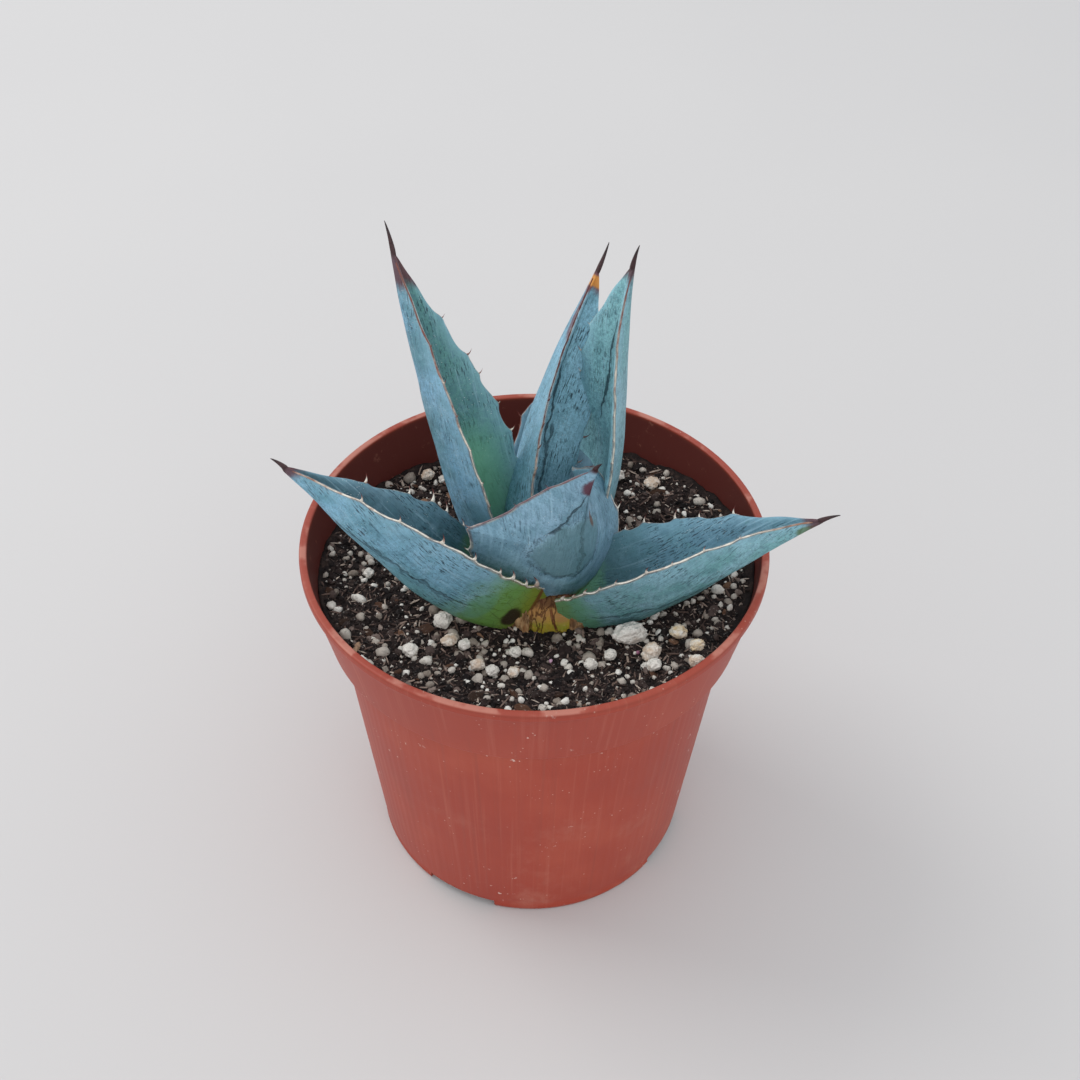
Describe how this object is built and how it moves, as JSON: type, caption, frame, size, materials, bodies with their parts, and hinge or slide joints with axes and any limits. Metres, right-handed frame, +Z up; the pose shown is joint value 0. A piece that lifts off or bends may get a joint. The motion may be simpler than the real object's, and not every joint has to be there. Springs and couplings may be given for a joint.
{
  "type": "potted agave",
  "caption": "Young blue agave rosette with spined, channelled leaves growing in gritty soil in a round tapered plastic nursery pot with a collar and drain notches.",
  "frame": {"origin": "centre of the pot's underside, on the pot's axis", "axes": "+Z up along the pot's axis; the plant's two low leaves reach out along -X and +X, and the front, where the short broad leaf turns its back, faces -Y"},
  "size_m": [0.136, 0.12, 0.1787],
  "materials": {
    "pot_plastic": "moulded terracotta-coloured plastic, satin, scuffed",
    "soil_peat": "dark gritty peat mix",
    "leaf_skin": "waxy blue-green bloom",
    "stem_skin": "dull pale green",
    "husk_brown": "dry fibrous",
    "husk_straw": "dry papery",
    "grain_white": "rough, porous",
    "grain_tan": "rough, porous",
    "grain_cream": "rough, porous",
    "grain_grey": "rough, porous"
  },
  "bodies": {
    "root": {"pot": "pot_plastic", "soil": "soil_peat", "stem": "stem_skin", "centre_bud": "leaf_skin", "leaf_left_low": "leaf_skin", "leaf_right_low": "leaf_skin", "leaf_front": "leaf_skin", "leaf_upper_left": "leaf_skin", "leaf_centre_tall": "leaf_skin", "leaf_right_tall": "leaf_skin", "leaf_back": "leaf_skin", "old_leaf_stub": "husk_brown", "husk_right": "husk_straw", "husk_left": "husk_straw", "grain_01": "grain_white", "grain_02": "grain_tan", "grain_03": "grain_cream", "grain_04": "grain_cream", "grain_05": "grain_white", "grain_06": "grain_tan", "grain_07": "grain_white", "grain_08": "grain_white", "grain_09": "grain_white", "grain_10": "grain_tan", "grain_11": "grain_white", "grain_12": "grain_tan", "grain_13": "grain_white", "grain_14": "grain_white", "grain_15": "grain_white", "grain_16": "grain_tan", "grain_17": "grain_white", "grain_18": "grain_tan", "grain_19": "grain_grey", "grain_20": "grain_tan"}
  },
  "joints": []
}
